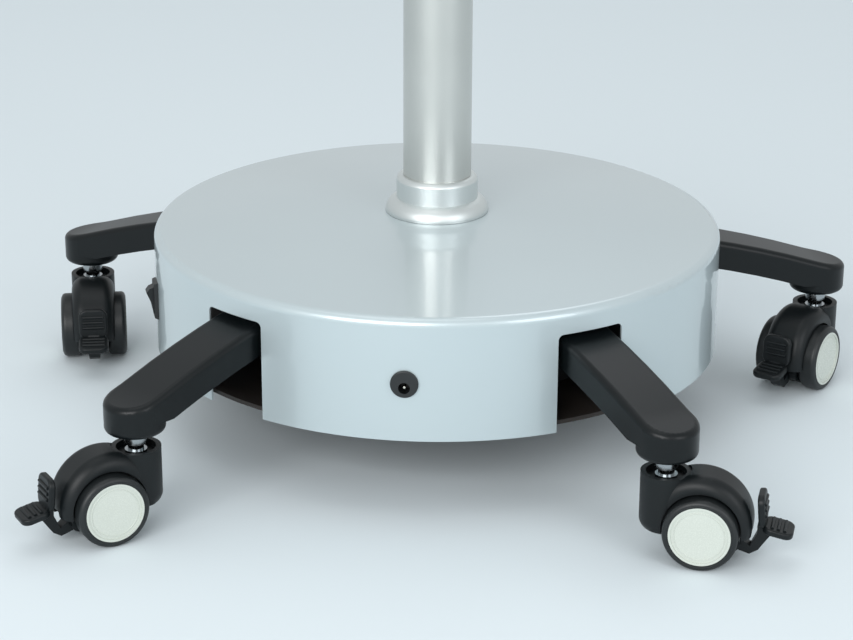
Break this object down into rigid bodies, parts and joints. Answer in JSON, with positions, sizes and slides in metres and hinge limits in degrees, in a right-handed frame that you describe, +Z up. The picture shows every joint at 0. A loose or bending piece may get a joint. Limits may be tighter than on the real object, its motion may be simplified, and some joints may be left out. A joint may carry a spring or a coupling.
{
  "type": "examination lamp",
  "caption": "Mobile examination lamp: castor base with a weighted round cover, telescopic column, swinging arm and tilting LED head.",
  "frame": {"origin": "floor, on the column's axis", "axes": "+Z up along the column; the arm points along +X at rest; the charging socket faces -Y"},
  "size_m": [1.0589, 0.6726, 1.6004],
  "materials": {
    "painted_cover": "silver metallic paint, glossy",
    "powder_black": "satin black powder coat",
    "cast_weight": "rough cast",
    "steel_zinc": "zinc plated",
    "stainless": "brushed",
    "satin_aluminium": "satin",
    "chrome_stem": "polished",
    "castor_nylon": "moulded nylon",
    "castor_tread": "polyurethane tread",
    "cap_white": "moulded ABS",
    "socket_black": "moulded",
    "pin_nickel": "nickel plated",
    "battery_case": "moulded ABS",
    "board_green": "solder resist",
    "arm_white": "white powder coat",
    "head_white": "moulded ABS",
    "lens_clear": "clear polycarbonate",
    "led_board_white": "white solder resist"
  },
  "bodies": {
    "base": {"base_cover": "painted_cover", "base_plate": "powder_black", "leg_hub": "powder_black", "legs": "powder_black", "frame_bolts": "steel_zinc", "cover_screws": "steel_zinc", "counterweight": "cast_weight", "battery": "battery_case", "charger_board": "board_green", "power_socket": "socket_black", "socket_pin": "pin_nickel", "switch_body": "socket_black", "pole": "stainless", "pole_collar": "satin_aluminium", "height_clamp": "powder_black", "castor_stems": "chrome_stem"},
    "rocker": {"switch_rocker": "socket_black"},
    "knob": {"clamp_knob": "castor_nylon"},
    "column": {"upper_pole": "stainless"},
    "knuckle": {"arm_knuckle": "arm_white"},
    "arm": {"arm": "arm_white"},
    "yoke": {"head_yoke": "arm_white"},
    "head": {"head_shell": "head_white", "head_lens": "lens_clear", "led_board": "led_board_white"},
    "castor_1": {"castor_housing_1": "castor_nylon", "castor_axle_1": "steel_zinc"},
    "pedal_1": {"castor_pedal_1": "castor_nylon"},
    "wheel_1_a": {"castor_wheel_1_a": "castor_tread", "castor_cap_1_a": "cap_white"},
    "wheel_1_b": {"castor_wheel_1_b": "castor_tread", "castor_cap_1_b": "cap_white"},
    "castor_2": {"castor_housing_2": "castor_nylon", "castor_axle_2": "steel_zinc"},
    "pedal_2": {"castor_pedal_2": "castor_nylon"},
    "wheel_2_a": {"castor_wheel_2_a": "castor_tread", "castor_cap_2_a": "cap_white"},
    "wheel_2_b": {"castor_wheel_2_b": "castor_tread", "castor_cap_2_b": "cap_white"},
    "castor_3": {"castor_housing_3": "castor_nylon", "castor_axle_3": "steel_zinc"},
    "pedal_3": {"castor_pedal_3": "castor_nylon"},
    "wheel_3_a": {"castor_wheel_3_a": "castor_tread", "castor_cap_3_a": "cap_white"},
    "wheel_3_b": {"castor_wheel_3_b": "castor_tread", "castor_cap_3_b": "cap_white"},
    "castor_4": {"castor_housing_4": "castor_nylon", "castor_axle_4": "steel_zinc"},
    "pedal_4": {"castor_pedal_4": "castor_nylon"},
    "wheel_4_a": {"castor_wheel_4_a": "castor_tread", "castor_cap_4_a": "cap_white"},
    "wheel_4_b": {"castor_wheel_4_b": "castor_tread", "castor_cap_4_b": "cap_white"},
    "castor_5": {"castor_housing_5": "castor_nylon", "castor_axle_5": "steel_zinc"},
    "pedal_5": {"castor_pedal_5": "castor_nylon"},
    "wheel_5_a": {"castor_wheel_5_a": "castor_tread", "castor_cap_5_a": "cap_white"},
    "wheel_5_b": {"castor_wheel_5_b": "castor_tread", "castor_cap_5_b": "cap_white"}
  },
  "joints": [
    {"name": "castor_swivel_1", "type": "hinge", "parent": "base", "child": "castor_1", "pos_m": [0.29405, 0.06336, 0.0706], "axis": [0, 0, 1], "continuous": true},
    {"name": "wheel_spin_1_a", "type": "hinge", "parent": "castor_1", "child": "wheel_1_a", "pos_m": [0.27989, 0.04156, 0.025], "axis": [0.8387, -0.5446, 0], "continuous": true},
    {"name": "wheel_spin_1_b", "type": "hinge", "parent": "castor_1", "child": "wheel_1_b", "pos_m": [0.27989, 0.04156, 0.025], "axis": [0.8387, -0.5446, 0], "continuous": true},
    {"name": "pedal_press_1", "type": "hinge", "parent": "castor_1", "child": "pedal_1", "pos_m": [0.269, 0.02478, 0.0155], "axis": [0.8387, -0.5446, 0], "range_deg": [0, 12]},
    {"name": "castor_swivel_2", "type": "hinge", "parent": "base", "child": "castor_2", "pos_m": [0.03061, 0.29924, 0.0706], "axis": [0, 0, 1], "continuous": true},
    {"name": "wheel_spin_2_a", "type": "hinge", "parent": "castor_2", "child": "wheel_2_a", "pos_m": [0.0184, 0.3222, 0.025], "axis": [-0.8829, -0.4695, 0], "continuous": true},
    {"name": "wheel_spin_2_b", "type": "hinge", "parent": "castor_2", "child": "wheel_2_b", "pos_m": [0.0184, 0.3222, 0.025], "axis": [-0.8829, -0.4695, 0], "continuous": true},
    {"name": "pedal_press_2", "type": "hinge", "parent": "castor_2", "child": "pedal_2", "pos_m": [0.00901, 0.33985, 0.0155], "axis": [-0.8829, -0.4695, 0], "range_deg": [0, 12]},
    {"name": "castor_swivel_3", "type": "hinge", "parent": "base", "child": "castor_3", "pos_m": [-0.27514, 0.12158, 0.0706], "axis": [0, 0, 1], "continuous": true},
    {"name": "wheel_spin_3_a", "type": "hinge", "parent": "castor_3", "child": "wheel_3_a", "pos_m": [-0.27201, 0.09577, 0.025], "axis": [0.9928, 0.1201, 0], "continuous": true},
    {"name": "wheel_spin_3_b", "type": "hinge", "parent": "castor_3", "child": "wheel_3_b", "pos_m": [-0.27201, 0.09577, 0.025], "axis": [0.9928, 0.1201, 0], "continuous": true},
    {"name": "pedal_press_3", "type": "hinge", "parent": "castor_3", "child": "pedal_3", "pos_m": [-0.26961, 0.07591, 0.0155], "axis": [0.9928, 0.1201, 0], "range_deg": [0, 12]},
    {"name": "castor_swivel_4", "type": "hinge", "parent": "base", "child": "castor_4", "pos_m": [-0.20065, -0.2241, 0.0706], "axis": [0, 0, 1], "continuous": true},
    {"name": "wheel_spin_4_a", "type": "hinge", "parent": "castor_4", "child": "wheel_4_a", "pos_m": [-0.22334, -0.23678, 0.025], "axis": [0.4879, -0.8729, 0], "continuous": true},
    {"name": "wheel_spin_4_b", "type": "hinge", "parent": "castor_4", "child": "wheel_4_b", "pos_m": [-0.22334, -0.23678, 0.025], "axis": [0.4879, -0.8729, 0], "continuous": true},
    {"name": "pedal_press_4", "type": "hinge", "parent": "castor_4", "child": "pedal_4", "pos_m": [-0.2408, -0.24654, 0.0155], "axis": [0.4879, -0.8729, 0], "range_deg": [0, 12]},
    {"name": "castor_swivel_5", "type": "hinge", "parent": "base", "child": "castor_5", "pos_m": [0.15113, -0.26008, 0.0706], "axis": [0, 0, 1], "continuous": true},
    {"name": "wheel_spin_5_a", "type": "hinge", "parent": "castor_5", "child": "wheel_5_a", "pos_m": [0.1765, -0.26575, 0.025], "axis": [0.2181, 0.9759, 0], "continuous": true},
    {"name": "wheel_spin_5_b", "type": "hinge", "parent": "castor_5", "child": "wheel_5_b", "pos_m": [0.1765, -0.26575, 0.025], "axis": [0.2181, 0.9759, 0], "continuous": true},
    {"name": "pedal_press_5", "type": "hinge", "parent": "castor_5", "child": "pedal_5", "pos_m": [0.19602, -0.27011, 0.0155], "axis": [0.2181, 0.9759, 0], "range_deg": [0, 12]},
    {"name": "switch_rock", "type": "hinge", "parent": "base", "child": "rocker", "pos_m": [-0.20411, -0.04398, 0.098], "axis": [-0.2106, 0.9776, 0], "range_deg": [0, 16]},
    {"name": "column_slide", "type": "slide", "parent": "base", "child": "column", "axis": [0, 0, 1], "range_m": [-0.3, 0.15]},
    {"name": "clamp_turn", "type": "hinge", "parent": "base", "child": "knob", "pos_m": [0, -0.046, 1.002], "axis": [0, -1, 0], "range_deg": [0, 300]},
    {"name": "arm_swivel", "type": "hinge", "parent": "column", "child": "knuckle", "pos_m": [0, 0, 1.5], "axis": [0, 0, 1], "range_deg": [-165, 165]},
    {"name": "arm_tilt", "type": "hinge", "parent": "knuckle", "child": "arm", "pos_m": [0, 0, 1.574], "axis": [0, -1, 0], "range_deg": [-40, 40]},
    {"name": "head_swivel", "type": "hinge", "parent": "arm", "child": "yoke", "pos_m": [0.6, 0, 1.574], "axis": [0, 0, 1], "range_deg": [-165, 165]},
    {"name": "head_tilt", "type": "hinge", "parent": "yoke", "child": "head", "pos_m": [0.6, 0, 1.402], "axis": [0, 1, 0], "range_deg": [-60, 60]}
  ]
}
